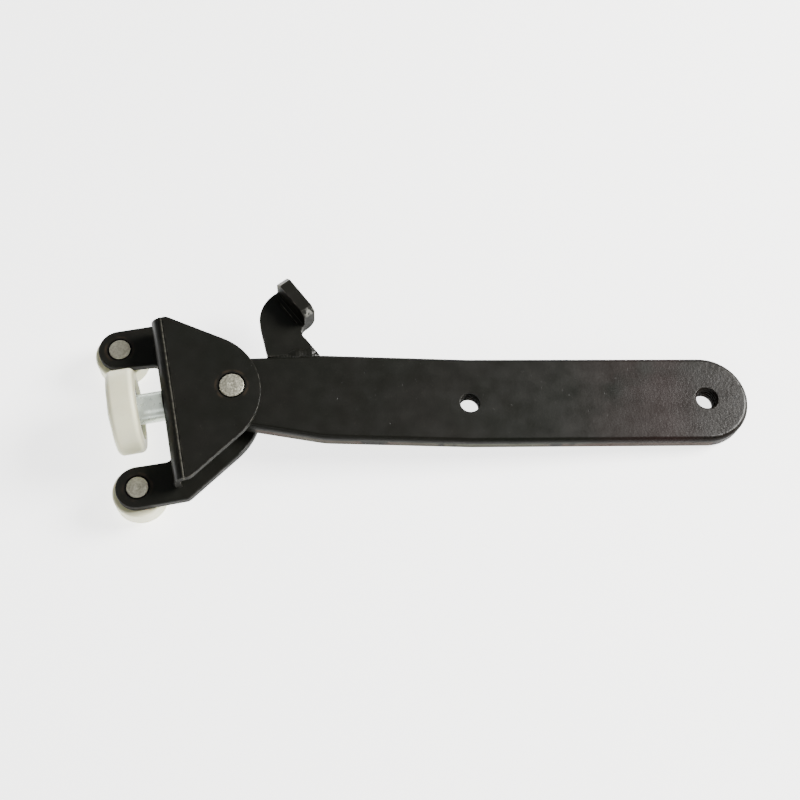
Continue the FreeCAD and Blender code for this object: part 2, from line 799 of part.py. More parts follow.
def make_tyre():
    """Nylon tyre moulded round the bearing, with a lip on each side of it."""
    tyre = turned(
        "load_tyre",
        [
            ("lip_radius", "load_start"),
            ("load_radius", "load_start"),
            ("load_radius", "load_end"),
            ("lip_radius", "load_end"),
            ("lip_radius", "bearing_end"),
            ("bearing_radius", "bearing_end"),
            ("bearing_radius", "bearing_start"),
            ("lip_radius", "bearing_start"),
        ],
    )
    for height in ("load_start", "load_end"):
        rim = ring_edge(size("load_radius"), size(height))
        soften(tyre, "Fillet", "Radius", "load_round", rim)
    return [tyre]


def make_load_roller():
    for piece in make_axle() + make_bearing() + make_balls_and_cage() + make_tyre():
        piece.Placement = LOAD_AXIS


# ---------------------------------------------------------------- build, check and write

NODES = [
    "arm_bar",
    "catch_lug",
    "pivot_bush",
    "pivot_pin",
    "pivot_washer_upper",
    "pivot_washer_lower",
    "cover_plate",
    "ear_plate",
    "load_axle",
    "load_washer",
    "load_bearing_inner_ring",
    "load_bearing_outer_ring",
    "load_bearing_shield_inner",
    "load_bearing_shield_outer",
    "load_bearing_balls",
    "load_bearing_cage",
    "load_tyre",
]
for side, _ in GUIDE_SIDES:
    NODES += [f"guide_{piece}_{side}" for piece in ("pin", "washer", "sleeve", "roller")]

make_arm()
make_lug()
make_cover()
make_ear_plate()
make_pivot()
for side, sign in GUIDE_SIDES:
    make_guide(side, guide_place(sign))
make_load_roller()
doc.recompute()

for item in doc.Objects:
    if {"Invalid", "Error"} & set(item.State):
        raise RuntimeError(f"{item.Label} failed: {item.State}")
pieces = {item.Label: item for item in doc.Objects if item.Label in NODES}
for name in NODES:
    shape = pieces[name].Shape
    if shape.isNull() or not shape.isValid():
        raise RuntimeError(f"{name} has no valid shape")

os.makedirs("parts", exist_ok=True)
for name in NODES:
    shape = pieces[name].Shape
    shape.exportStep(f"parts/{name}.step")
    box = shape.BoundBox
    span = f"z {box.ZMin:6.2f} {box.ZMax:6.2f}"
    print(f"{name:28s} {shape.Volume:9.1f} mm3  solids {len(shape.Solids)}  {span}")
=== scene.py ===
import json
import math
import random

import bmesh
import bpy
from mathutils import Matrix, Vector


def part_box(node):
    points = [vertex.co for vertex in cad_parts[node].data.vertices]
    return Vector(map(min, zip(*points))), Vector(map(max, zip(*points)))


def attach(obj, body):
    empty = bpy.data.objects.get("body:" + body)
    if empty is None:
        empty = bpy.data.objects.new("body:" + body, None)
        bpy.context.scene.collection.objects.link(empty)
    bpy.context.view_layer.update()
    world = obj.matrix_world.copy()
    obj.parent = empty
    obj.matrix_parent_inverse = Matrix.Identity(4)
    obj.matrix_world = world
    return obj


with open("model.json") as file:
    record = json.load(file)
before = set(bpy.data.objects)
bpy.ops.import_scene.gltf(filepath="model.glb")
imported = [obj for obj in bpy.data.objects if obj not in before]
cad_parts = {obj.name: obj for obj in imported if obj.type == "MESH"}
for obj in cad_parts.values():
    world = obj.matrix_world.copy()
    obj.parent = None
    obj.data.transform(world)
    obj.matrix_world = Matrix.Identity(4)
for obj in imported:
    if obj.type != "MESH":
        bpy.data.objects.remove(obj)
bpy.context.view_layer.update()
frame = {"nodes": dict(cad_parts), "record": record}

NODES = frame["nodes"]
JOINTS = {joint["name"]: joint for joint in frame["record"]["behaviour"]["joints"]}
MOUNTS = {mount["name"]: mount for mount in frame["record"]["mounts"]}
MM = 0.001
UP = Vector((0, 0, 1))
PIVOT = Vector(JOINTS["bracket_swivel"]["pos_m"])
LOAD_CENTRE = Vector(JOINTS["load_roller_spin"]["pos_m"])
LOAD_AXIS = Vector(JOINTS["load_roller_spin"]["axis"]).normalized()
GUIDES = {side: Vector(JOINTS[f"guide_{side}_spin"]["pos_m"]) for side in ("right", "left")}
# The bracket's own directions at rest: from the pivot to the load roller, and across.
OUT = (LOAD_CENTRE - PIVOT - UP * (LOAD_CENTRE - PIVOT).z).normalized()
SIDE = UP.cross(OUT)

# ------------------------------------------------------------------ camera, lights and floor

# Angles in degrees, off a camera that looks straight down on the arm.
CAMERA_TILT = 23.65
CAMERA_LEAN = -4.23
CAMERA_ROLL = -2.84
CAMERA_DISTANCE = 0.3668
CAMERA_AIM = Vector((-0.0632, 0.0013, 0.0060))
# Focal length as a share of the sensor's width, which is in millimetres.
FOCAL_SHARE = 1.3926
SENSOR = 36.0

LIGHT_AIM = Vector((-0.06, 0, 0))
WARM_WHITE, NEAR_WHITE = (1.0, 0.985, 0.95), (1.0, 1.0, 0.98)
ROOM_DIM, ROOM_BRIGHT = (0.16, 0.16, 0.16, 1), (1.0, 1.0, 0.98, 1)
FLOOR_SIZE = 40
FLOOR_GAP = 0.2 * MM
FLOOR_GLOW = 2.8


def make_camera():
    """Camera above the arm, tilted towards the side away from the catch lug."""
    back = Vector((math.sin(math.radians(CAMERA_LEAN)), -math.sin(math.radians(CAMERA_TILT)), 0))
    back.z = math.sqrt(1 - back.length_squared)
    right = Vector((0, 1, 0)).cross(back).normalized()
    up = back.cross(right)
    roll = math.radians(CAMERA_ROLL)
    across = right * math.cos(roll) + up * math.sin(roll)
    upward = up * math.cos(roll) - right * math.sin(roll)
    data = bpy.data.cameras.new("camera")
    data.sensor_width = SENSOR
    data.lens = SENSOR * FOCAL_SHARE
    data.clip_start, data.clip_end = 0.01, 20
    camera = bpy.data.objects.new("camera", data)
    bpy.context.scene.collection.objects.link(camera)
    turn = Matrix((across, upward, back)).transposed()
    camera.matrix_world = Matrix.Translation(CAMERA_AIM + back * CAMERA_DISTANCE) @ turn.to_4x4()
    bpy.context.scene.camera = camera


def area_light(name, place, side, power, tint):
    """Square soft box aimed at the middle of the object."""
    data = bpy.data.lights.new(name, "AREA")
    data.shape, data.size, data.size_y = "RECTANGLE", side, side
    data.energy, data.color = power, tint
    light = bpy.data.objects.new(name, data)
    bpy.context.scene.collection.objects.link(light)
    light.location = place
    light.rotation_euler = (Vector(place) - LIGHT_AIM).to_track_quat("Z", "Y").to_euler()


def make_lights():
    """Dim room, brighter low down behind the object, with a soft box to the right and a fill."""
    world = bpy.data.worlds.new("studio")
    bpy.context.scene.world = world
    world.use_nodes = True
    nodes, links = world.node_tree.nodes, world.node_tree.links
    coordinate = nodes.new("ShaderNodeTexCoord")
    split = nodes.new("ShaderNodeSeparateXYZ")
    behind = nodes.new("ShaderNodeMath")
    behind.operation = "SUBTRACT"
    ramp = nodes.new("ShaderNodeValToRGB")
    for stop, colour, position in zip(ramp.color_ramp.elements, (ROOM_DIM, ROOM_BRIGHT), (0.25, 0.95)):
        stop.color = colour
        stop.position = position
    links.new(coordinate.outputs["Generated"], split.inputs[0])
    links.new(split.outputs["Y"], behind.inputs[0])
    links.new(split.outputs["Z"], behind.inputs[1])
    links.new(behind.outputs[0], ramp.inputs[0])
    links.new(ramp.outputs[0], nodes["Background"].inputs["Color"])
    nodes["Background"].inputs["Strength"].default_value = 1.0
    area_light("key_light", (0.86, 0.22, 0.72), 0.50, 46.0, WARM_WHITE)
    area_light("fill_light", (-0.35, -0.95, 0.70), 0.40, 4.0, NEAR_WHITE)


def make_floor():
    """Pale table, tilted to run under the guide pins' lower ends and the arm's tip."""
    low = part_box("guide_pin_left")[0]
    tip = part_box("arm_bar")[1]
    bpy.ops.mesh.primitive_plane_add(size=FLOOR_SIZE, location=(tip.x, 0, -FLOOR_GAP))
    floor = bpy.context.object
    floor.name = "floor"
    floor.rotation_euler = (0, -math.atan2(-low.z, tip.x - low.x), 0)
    material, _, _, shader = new_material("pale_floor")
    shader.inputs["Base Color"].default_value = (0.90, 0.90, 0.895, 1)
    shader.inputs["Roughness"].default_value = 0.9
    shader.inputs["Emission Color"].default_value = (1, 1, 0.995, 1)
    shader.inputs["Emission Strength"].default_value = FLOOR_GLOW
    floor.data.materials.append(material)


# ------------------------------------------------------------------ materials

# Black paint, what shows through or lies on it, and its painted sheen, reflection, highlight and shade.
COOL_BLACK, WARM_BLACK = (0.0064, 0.0069, 0.0052), (0.0084, 0.0080, 0.0066)
# Painted sheen in brown, and dark dots.
SHEEN_BROWN, BROWN_DOT = (0.0170, 0.0095, 0.0088), (0.0010, 0.0010, 0.0010)
DUST, PIT = (0.030, 0.029, 0.023), (0.0015, 0.0015, 0.0015)
# Painted reflection of the pale floor, olive and brownish.
REFLECTED_OLIVE, REFLECTED_BROWN = (0.040, 0.040, 0.027), (0.036, 0.024, 0.018)
RUBBED = (0.15, 0.14, 0.12)
# Grime, and painted shade for the gap round a rivet.
GRIME, GAP_SHADE = (0.040, 0.028, 0.017), (0.0006, 0.0006, 0.0006)
OLIVE, SILVER = (0.16, 0.15, 0.09), (0.20, 0.20, 0.18)
# Painted highlight and painted shade for a crease.
CREASE_HIGHLIGHT, CREASE_SHADE = (0.070, 0.068, 0.055), (0.0012, 0.0012, 0.0012)
# Bare steel and natural nylon.
STEEL_DARK, STEEL_LIGHT, STEEL_RING = (0.44, 0.425, 0.335), (0.66, 0.645, 0.535), (0.27, 0.25, 0.19)
IVORY_DEEP, IVORY_PALE = (0.70, 0.69, 0.49), (0.76, 0.75, 0.545)
# Specks in nylon, and painted shade for a flank.
IVORY_SPECK, IVORY_SHADED = (0.48, 0.45, 0.30), (0.26, 0.245, 0.16)
RING_SPACING = 0.42 * MM
LATHE_MARK = 0.25 * MM


def new_material(name):
    """A new material with its nodes, its links and its shader."""
    material = bpy.data.materials.new(name)
    material.use_nodes = True
    tree = material.node_tree
    return material, tree.nodes, tree.links, tree.nodes["Principled BSDF"]


class Paint:
    """A material under construction, with short calls for its usual nodes. Scales are in metres."""

    def __init__(self, name):
        self.material, self.nodes, self.links, self.shader = new_material(name)
        self.place = self.nodes.new("ShaderNodeTexCoord").outputs["Object"]

    def put(self, source, target):
        """Link one socket to another."""
        self.links.new(source, target)

    def uniform(self, **values):
        """Set the shader's own inputs, with _ for a space in a name."""
        for name, value in values.items():
            self.shader.inputs[name.replace("_", " ")].default_value = value

    def noise(self, grain, detail=3.0, stretch=None):
        """Noise whose grains are about so many metres across."""
        node = self.nodes.new("ShaderNodeTexNoise")
        node.inputs["Scale"].default_value = 1 / grain
        node.inputs["Detail"].default_value = detail
        place = self.place
        if stretch:
            squeeze = self.nodes.new("ShaderNodeVectorMath")
            squeeze.operation = "MULTIPLY"
            squeeze.inputs[1].default_value = stretch
            self.put(place, squeeze.inputs[0])
            place = squeeze.outputs[0]
        self.put(place, node.inputs["Vector"])
        return node.outputs["Fac"]

    def remap(self, source, low, high, to_low=0.0, to_high=1.0):
        """A value that goes from to_low to to_high as the source goes from low to high."""
        node = self.nodes.new("ShaderNodeMapRange")
        for slot, value in zip((1, 2, 3, 4), (low, high, to_low, to_high)):
            node.inputs[slot].default_value = value
        self.put(source, node.inputs[0])
        return node.outputs[0]

    def math(self, operation, first, second=0):
        """The result of an operation on one or two values, each a socket or a number."""
        node = self.nodes.new("ShaderNodeMath")
        node.operation = operation
        for slot, value in enumerate((first, second)):
            if isinstance(value, (int, float)):
                node.inputs[slot].default_value = value
            else:
                self.put(value, node.inputs[slot])
        return node.outputs[0]

    def times(self, first, second):
        """One value times another, each a socket or a number."""
        return self.math("MULTIPLY", first, second)

    def mix(self, factor, first, second):
        """Colour between two colours, each a socket or three numbers."""
        node = self.nodes.new("ShaderNodeMix")
        node.data_type = "RGBA"
        self.put(factor, node.inputs[0])
        for slot, value in ((6, first), (7, second)):
            if isinstance(value, tuple):
                node.inputs[slot].default_value = (*value, 1)
            else:
                self.put(value, node.inputs[slot])
        return node.outputs[2]

    def bumps(self, height, depth, below=None):
        """Normal from a height between 0 and 1 that stands for depth metres."""
        node = self.nodes.new("ShaderNodeBump")
        node.inputs["Strength"].default_value = 1.0
        node.inputs["Distance"].default_value = depth
        self.put(height, node.inputs["Height"])
        if below:
            self.put(below, node.inputs["Normal"])
        return node.outputs[0]

    def edges(self, width):
        """How sharply the surface turns within so many metres: 0 on flats, towards 1 on edges."""
        bevel = self.nodes.new("ShaderNodeBevel")
        bevel.samples = 6
        bevel.inputs["Radius"].default_value = width
        geometry = self.nodes.new("ShaderNodeNewGeometry")
        dot = self.nodes.new("ShaderNodeVectorMath")
        dot.operation = "DOT_PRODUCT"
        self.put(bevel.outputs[0], dot.inputs[0])
        self.put(geometry.outputs["Normal"], dot.inputs[1])
        return self.remap(dot.outputs["Value"], 1.0, 0.75)

    def rounded(self, radius):
        """Normal as if every edge were rounded."""
        bevel = self.nodes.new("ShaderNodeBevel")
        bevel.samples = 6
        bevel.inputs["Radius"].default_value = radius
        return bevel.outputs[0]

    def facing(self, direction):
        """How squarely the surface at rest looks along a direction, from the mesh's own normal."""
        normal = self.nodes.new("ShaderNodeTexCoord").outputs["Normal"]
        dot = self.nodes.new("ShaderNodeVectorMath")
        dot.operation = "DOT_PRODUCT"
        dot.inputs[1].default_value = direction
        self.put(normal, dot.inputs[0])
        return dot.outputs["Value"]

    def along(self, direction):
        """Place along a direction, in metres."""
        dot = self.nodes.new("ShaderNodeVectorMath")
        dot.operation = "DOT_PRODUCT"
        dot.inputs[1].default_value = direction
        self.put(self.place, dot.inputs[0])
        return dot.outputs["Value"]

    def distance(self, centre):
        """Distance from a point."""
        away = self.nodes.new("ShaderNodeVectorMath")
        away.operation = "DISTANCE"
        away.inputs[1].default_value = centre
        self.put(self.place, away.inputs[0])
        return away.outputs["Value"]

    def reach(self, centre):
        """Distance from an upright line through centre."""
        away = self.nodes.new("ShaderNodeVectorMath")
        away.operation = "SUBTRACT"
        away.inputs[1].default_value = centre
        self.put(self.place, away.inputs[0])
        cross = self.nodes.new("ShaderNodeVectorMath")
        cross.operation = "CROSS_PRODUCT"
        cross.inputs[1].default_value = UP
        self.put(away.outputs[0], cross.inputs[0])
        length = self.nodes.new("ShaderNodeVectorMath")
        length.operation = "LENGTH"
        self.put(cross.outputs[0], length.inputs[0])
        return length.outputs["Value"]

    def finish(self, colour, roughness, normal):
        """Link the last three sockets to the shader and return the material."""
        for source, name in ((colour, "Base Color"), (roughness, "Roughness"), (normal, "Normal")):
            self.put(source, self.shader.inputs[name])
        return self.material


def sheen_towards_tip(paint, colour, start):
    """Painted sheen: lighter, browner paint along X from start onwards, fading near the tip, with
    dark dots there. The brown stands in for the key light's grazing reflection.

    Gives how far along that stretch a place is, for the bumps, and the colour.
    """
    sheen_zone = paint.remap(paint.along((1, 0, 0)), start, start + 50 * MM)
    faded = paint.remap(paint.along((1, 0, 0)), start + 36 * MM, start + 48 * MM, 1, 0.2)
    reddish = paint.times(sheen_zone, paint.remap(paint.noise(14 * MM, 3), 0.35, 0.55))
    colour = paint.mix(paint.times(reddish, faded), colour, SHEEN_BROWN)
    dots = paint.remap(paint.noise(1.3 * MM, 2), 0.64, 0.67)
    at_tip = paint.remap(paint.along((1, 0, 0)), start + 40 * MM, start + 52 * MM)
    return sheen_zone, paint.mix(paint.times(dots, at_tip), colour, BROWN_DOT)


def floor_reflection_on_side(paint, colour, direction, height):
    """Painted reflection of the pale floor: lighter olive and brownish patches on the side that faces a
    direction, below a height.
    """
    facing = paint.remap(paint.facing(direction), 0.80, 0.97)
    below = paint.remap(paint.along(UP), height, height - 0.4 * MM)
    breakup = paint.remap(paint.noise(9 * MM, 4, (1, 0.3, 0.3)), 0.38, 0.43)
    warm_patches = paint.remap(paint.noise(30 * MM, 3), 0.42, 0.60)
    wear_and_painted_light = paint.mix(warm_patches, REFLECTED_OLIVE, REFLECTED_BROWN)
    return paint.mix(paint.times(paint.times(facing, below), breakup), colour, wear_and_painted_light)


def scraped_spot(paint, colour, centre, radius, wear_and_painted_light):
    """A scraped place round a point."""
    near = paint.remap(paint.distance(centre), radius, radius * 0.3)
    scraped = paint.remap(paint.noise(1.1 * MM, 5), 0.44, 0.56)
    return paint.mix(paint.times(near, scraped), colour, wear_and_painted_light)


def painted_crease_line(paint, colour, point, across, half, wear_and_painted_light):
    """Colour along a crease through a point, of some half width along across: painted highlight on a
    crest, where the paint is also rubbed, and painted shade in a groove, as its colour gives.
    """
    level = paint.math("SUBTRACT", paint.along(across), Vector(across).dot(point))
    near = paint.remap(paint.math("ABSOLUTE", level), half, half * 0.4)
    rough = paint.remap(paint.noise(1.2 * MM, 5), 0.35, 0.65)
    return paint.mix(paint.times(near, rough), colour, wear_and_painted_light)


def rivet_grime_and_gap_shade(paint, colour, rivet, radius):
    """Painted shade in the gap round a rivet, as a near-black ring, with a ring of grime outside it.
    Gives the shaded gap and the colour.
    """
    away = paint.reach(rivet)
    off = paint.math("ABSOLUTE", paint.math("SUBTRACT", away, radius + 1.2 * MM))
    ring = paint.remap(off, 0.6 * MM, 0)
    stain = paint.times(ring, paint.remap(paint.noise(3 * MM, 3), 0.42, 0.62))
    colour = paint.mix(paint.times(stain, 0.6), colour, GRIME)
    gap = paint.remap(away, radius + 0.60 * MM, radius + 0.40 * MM)
    return gap, paint.mix(gap, colour, GAP_SHADE)


def black_paint(name, spots=(), lines=(), rivets=(), reflection_side=None, sheen_start=None, matt_edge=0.0,
                wear=0.6):
    """Thin semi-gloss black paint on blanked steel: mottled, finely pitted, rubbed at the edges.

    A spot is (centre, radius, colour) and a line (point, direction across it, half width, colour); a line
    is painted highlight or painted shade along a crease, as its colour gives. A rivet is (centre,
    radius), with painted shade in the gap round it. reflection_side is (direction, upper height) of a
    side painted lighter below that height, a painted reflection of the pale floor. Along X the paint
    turns lighter and browner from sheen_start onwards, a painted sheen. matt_edge is how much gloss the
    rounded edges lose, and wear how much paint the sharp ones lose.
    """
    paint = Paint(name)
    cloud = paint.remap(paint.noise(22 * MM, 3), 0.35, 0.65)
    speck = paint.remap(paint.noise(0.7 * MM, 4), 0.66, 0.76)
    pit = paint.remap(paint.noise(1.5 * MM, 6), 0.70, 0.73)
    patches = paint.remap(paint.noise(2.5 * MM, 5), 0.42, 0.62)
    side = paint.remap(paint.math("ABSOLUTE", paint.facing(UP)), 0.75, 0.35)
    colour = paint.mix(cloud, COOL_BLACK, WARM_BLACK)
    # Painted sheen: lighter, browner paint towards the tip.
    if sheen_start is not None:
        sheen_zone, colour = sheen_towards_tip(paint, colour, sheen_start)
    colour = paint.mix(paint.times(speck, 0.35), colour, DUST)
    colour = paint.mix(pit, colour, PIT)
    # Painted reflection of the pale floor: lighter patches on one side, below a height.
    if reflection_side:
        colour = floor_reflection_on_side(paint, colour, *reflection_side)
    rubbed = paint.times(paint.edges(0.6 * MM), patches)
    colour = paint.mix(paint.times(rubbed, wear), colour, RUBBED)
    for spot in spots:
        colour = scraped_spot(paint, colour, *spot)
    # Painted highlight and painted shade along creases.
    for line in lines:
        colour = painted_crease_line(paint, colour, *line)
    # Painted shade: a near-black ring in the gap round each rivet, with duller gloss there.
    shaded_gap = 0.0
    for rivet in rivets:
        gap, colour = rivet_grime_and_gap_shade(paint, colour, *rivet)
        shaded_gap = paint.math("MAXIMUM", shaded_gap, gap)
    roughness = paint.remap(paint.noise(6 * MM, 5), 0.3, 0.7, 0.32, 0.44)
    roughness = paint.math("ADD", roughness, paint.times(side, 0.10))
    tilted = paint.remap(paint.math("ABSOLUTE", paint.facing(UP)), 0.985, 0.93)
    dull = paint.math("MAXIMUM", paint.times(tilted, matt_edge), side)
    dull = paint.math("MAXIMUM", dull, shaded_gap)
    paint.put(paint.remap(dull, 0, 1, 0.30, 0.04), paint.shader.inputs["Specular IOR Level"])
    normal = paint.bumps(paint.noise(1.1 * MM, 3, (1, 0.6, 1)), 0.022 * MM, paint.rounded(0.3 * MM))
    normal = paint.bumps(paint.noise(0.45 * MM, 4), 0.014 * MM, normal)
    if sheen_start is not None:
        height = paint.times(sheen_zone, paint.noise(1.0 * MM, 4, (1, 0.75, 1)))
        normal = paint.bumps(height, 0.07 * MM, normal)
    normal = paint.bumps(paint.math("SUBTRACT", 1.0, pit), 0.03 * MM, normal)
    return paint.finish(colour, roughness, normal)


def rivet_steel(name, centre):
    """Bare riveted steel end: dull, smeared in rings about its centre."""
    steel = Paint(name)
    steel.uniform(Metallic=0.85)
    away = steel.math("ADD", steel.reach(centre), steel.times(steel.noise(2 * MM, 4), 0.9 * MM))
    ring = steel.math("SINE", steel.times(away, 2 * math.pi / RING_SPACING))
    ring = steel.remap(ring, -1, 1)
    mottle = steel.remap(steel.noise(0.7 * MM, 5), 0.35, 0.68)
    colour = steel.mix(mottle, STEEL_DARK, STEEL_LIGHT)
    colour = steel.mix(steel.times(ring, 0.2), colour, STEEL_RING)
    roughness = steel.remap(mottle, 0, 1, 0.36, 0.55)
    normal = steel.bumps(ring, 0.012 * MM, steel.bumps(mottle, 0.03 * MM))
    return steel.finish(colour, roughness, normal)


def turned_metal(name, axis, tint, shade, roughness, metallic=1.0):
    """Metal with fine lathe marks round its axis. Dull plating is less metallic."""
    metal = Paint(name)
    metal.uniform(Metallic=metallic)
    lines = metal.nodes.new("ShaderNodeTexNoise")
    lines.noise_dimensions = "1D"
    lines.inputs["Scale"].default_value = 1 / LATHE_MARK
    lines.inputs["Detail"].default_value = 3
    metal.put(metal.along(axis), lines.inputs["W"])
    cloud = metal.remap(metal.noise(4 * MM, 4), 0.35, 0.65)
    colour = metal.mix(cloud, tint, shade)
    rough = metal.remap(metal.noise(1.5 * MM, 4), 0.3, 0.7, roughness * 0.8, roughness * 1.25)
    normal = metal.bumps(lines.outputs["Fac"], 0.02 * MM)
    return metal.finish(colour, rough, normal)


def nylon(name, shaded_side=None):
    """Natural nylon: ivory, slightly see-through at the surface, with painted shade on the flank that
    faces shaded_side, if given.
    """
    plastic = Paint(name)
    plastic.uniform(Subsurface_Weight=0.25, Subsurface_Scale=1.5 * MM)
    plastic.shader.inputs["Subsurface Radius"].default_value = (1.0, 0.85, 0.6)
    cloud = plastic.remap(plastic.noise(9 * MM, 3), 0.35, 0.65)
    soil = plastic.remap(plastic.noise(1.4 * MM, 6), 0.62, 0.78)
    colour = plastic.mix(cloud, IVORY_DEEP, IVORY_PALE)
    colour = plastic.mix(plastic.times(soil, 0.3), colour, IVORY_SPECK)
    # Painted shade: darker, olive ivory on the flank that faces the given side.
    if shaded_side:
        shaded_flank = plastic.remap(plastic.facing(shaded_side), 0.55, 0.95, 0, 0.85)
        colour = plastic.mix(shaded_flank, colour, IVORY_SHADED)
    roughness = plastic.remap(plastic.noise(3 * MM, 4), 0.3, 0.7, 0.42, 0.58)
    normal = plastic.bumps(plastic.noise(5 * MM, 2), 0.08 * MM)
    normal = plastic.bumps(plastic.noise(0.5 * MM, 4), 0.006 * MM, normal)
    return plastic.finish(colour, roughness, normal)


def give(material, *names):
    """Put one material on CAD nodes."""
    for name in names:
        piece = NODES[name]
        piece.data.materials.clear()
        piece.data.materials.append(material)


# ------------------------------------------------------------------ modelled details

THREAD_PITCH = 1.25 * MM
DRILL_RADIUS = 3.4 * MM
CREST = 0.36 * MM
STEPS_PER_TURN = 28
RUN_OUT_STEPS = 8
PIVOT_FACE_RADIUS, GUIDE_FACE_RADIUS = 3.9 * MM, 3.4 * MM
RIVET_DOME = 0.16 * MM
RIVET_RIM_SINK = 0.03 * MM
WELD_SECTION = 0.22 * MM
WELD_RIPPLE = 1.05 * MM


def add_piece(name, mesh, material, body):
    """A new piece in the row frame that moves with one body."""
    data = bpy.data.meshes.new(name)
    bmesh.ops.recalc_face_normals(mesh, faces=mesh.faces)
    mesh.to_mesh(data)
    mesh.free()
    data.shade_smooth()
    data.materials.append(material)
    piece = bpy.data.objects.new(name, data)
    bpy.context.scene.collection.objects.link(piece)
    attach(piece, body)


def skin(sections):
    """A closed mesh through a row of sections with the same number of corners."""
    mesh = bmesh.new()
    rows = [[mesh.verts.new(corner) for corner in section] for section in sections]
    for here, following in zip(rows, rows[1:]):
        for i in range(len(here)):
            after = (i + 1) % len(here)
            mesh.faces.new((here[i], here[after], following[after], following[i]))
    mesh.faces.new(rows[0])
    mesh.faces.new(list(reversed(rows[-1])))
    return mesh


def thread(name, centre, low, high, material):
    """The crest of a tapped thread, running out at both ends."""
    half = THREAD_PITCH * 0.42
    steps = round((high - low - 2 * half) / THREAD_PITCH * STEPS_PER_TURN)
    sections = []
    for i in range(steps + 1):
        angle = 2 * math.pi * i / STEPS_PER_TURN
        ends = min(1, i / RUN_OUT_STEPS, (steps - i) / RUN_OUT_STEPS)
        level = low + half + THREAD_PITCH * i / STEPS_PER_TURN
        wall, crest = DRILL_RADIUS + 0.06 * MM, DRILL_RADIUS + 0.04 * MM - CREST * ends
        spoke = Vector((math.cos(angle), math.sin(angle), 0))
        foot = Vector((centre.x, centre.y, level))
        sections.append([
            foot + spoke * wall - UP * half,
            foot + spoke * crest - UP * half * 0.12,
            foot + spoke * crest + UP * half * 0.12,
            foot + spoke * wall + UP * half,
        ])
    add_piece(name, skin(sections), material, "arm")


def rivet_face(name, pin, centre, radius, marks, material):
    """Riveted end: a low dome with rings pressed by the tool.

    Each of the marks is (share of the radius, width as a share of it, height in millimetres).
    """
    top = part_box(pin)[1].z
    rows, around = 30, 64
    wobble = random.Random(name).uniform(0, math.pi)

    def height(share, angle):
        level = RIVET_DOME * (1 - share**4)
        for place, width, lift in marks:
            off = (share - place - 0.03 * math.sin(angle + wobble)) / width
            level += lift * MM * math.exp(-off * off)
        return level

    mesh = bmesh.new()
    middle = mesh.verts.new((centre.x, centre.y, top + height(0, 0)))
    rings = []
    for row in range(1, rows + 1):
        share = row / rows
        ring = []
        for step in range(around):
            angle = 2 * math.pi * step / around
            level = top + height(share, angle) if row < rows else top - RIVET_RIM_SINK
            spoke = Vector((math.cos(angle), math.sin(angle), 0)) * radius * share
            ring.append(mesh.verts.new((centre.x + spoke.x, centre.y + spoke.y, level)))
        rings.append(ring)
    for step in range(around):
        after = (step + 1) % around
        mesh.faces.new((middle, rings[0][step], rings[0][after]))
        for inner, outer in zip(rings, rings[1:]):
            mesh.faces.new((inner[step], outer[step], outer[after], inner[after]))
    mesh.faces.new(rings[-1])
    add_piece(name, mesh, material, "bracket")


def weld(name, start, end, radius, material, body, swell=0.0, squash=1.0):
    """A weld bead with overlapping ripples. swell widens its far end."""
    seeded = random.Random(name)
    along = (end - start).normalized()
    across = along.cross(UP).normalized()
    length = (end - start).length
    count, around = max(24, round(length / WELD_SECTION)), 16
    waves = [(seeded.uniform(0.5, 2.2), seeded.uniform(0, 6.3)) for _ in range(3)]
    sections = []
    for i in range(count + 1):
        share = i / count
        ripple = (share * length / WELD_RIPPLE) % 1
        grow = math.sqrt(max(0.001, min(1, share * 4, (1 - share) * 6)))
        lump = sum(math.sin(speed * 7 * share + shift) for speed, shift in waves) * 0.05
        size = radius * grow * (0.93 + 0.10 * ripple + lump + swell * share**5)
        middle = start.lerp(end, share)
        section = []
        for step in range(around):
            angle = 2 * math.pi * step / around
            rough = 1 + 0.04 * math.sin(5 * angle + 11 * share) * math.sin(31 * share + angle)
            spoke = across * math.cos(angle) + UP * math.sin(angle) * squash
            section.append(middle + spoke * size * rough + along * 0.3 * MM * math.sin(angle))
        sections.append(section)
    add_piece(name, skin(sections), material, body)


def lug_root():
    """Ends of the line where the lug's upper face meets the arm's edge."""
    lug = NODES["catch_lug"]
    root, arm_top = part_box("catch_lug")[0].y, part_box("arm_bar")[1].z
    corners = [lug.matrix_world @ vertex.co for vertex in lug.data.vertices]
    near = [c for c in corners if c.y < root + 2.2 * MM and c.z > arm_top - 0.5 * MM]
    return min(near, key=lambda c: c.x), max(near, key=lambda c: c.x)


# ------------------------------------------------------------------ the scene

make_camera()
make_lights()
make_floor()

# Scraped places on the tab, at its outer end and at its inner end.
TAB_LOW, TAB_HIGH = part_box("catch_lug")
LUG_SPOTS = [
    (Vector((TAB_LOW.x + 6.7 * MM, TAB_HIGH.y - 2.6 * MM, TAB_HIGH.z - 1.0 * MM)), 2.0 * MM, OLIVE),
    (Vector((TAB_HIGH.x - 3.3 * MM, TAB_HIGH.y - 13.4 * MM, TAB_HIGH.z - 1.4 * MM)), 2.0 * MM, SILVER),
]
# The cover plate's die mark beside the fold: a painted highlight on the crest, where the paint is also
# rubbed, and painted shade at the dark foot.
FOLD = PIVOT + OUT * 19.4 * MM
COVER_LINES = [
    (FOLD, OUT, 0.35 * MM, CREASE_HIGHLIGHT),
    (FOLD + OUT * 0.9 * MM, OUT, 0.4 * MM, CREASE_SHADE),
]
# The arm's paint has a painted reflection of the pale floor on its side facing -Y, and a painted sheen in
# brown towards its tip.
PAINT_ARM = black_paint(
    "arm_paint", reflection_side=((0, -1, 0), 3.6 * MM), sheen_start=-10 * MM, matt_edge=0.9, wear=0.12
)
PAINT_LUG = black_paint("lug_paint", LUG_SPOTS)
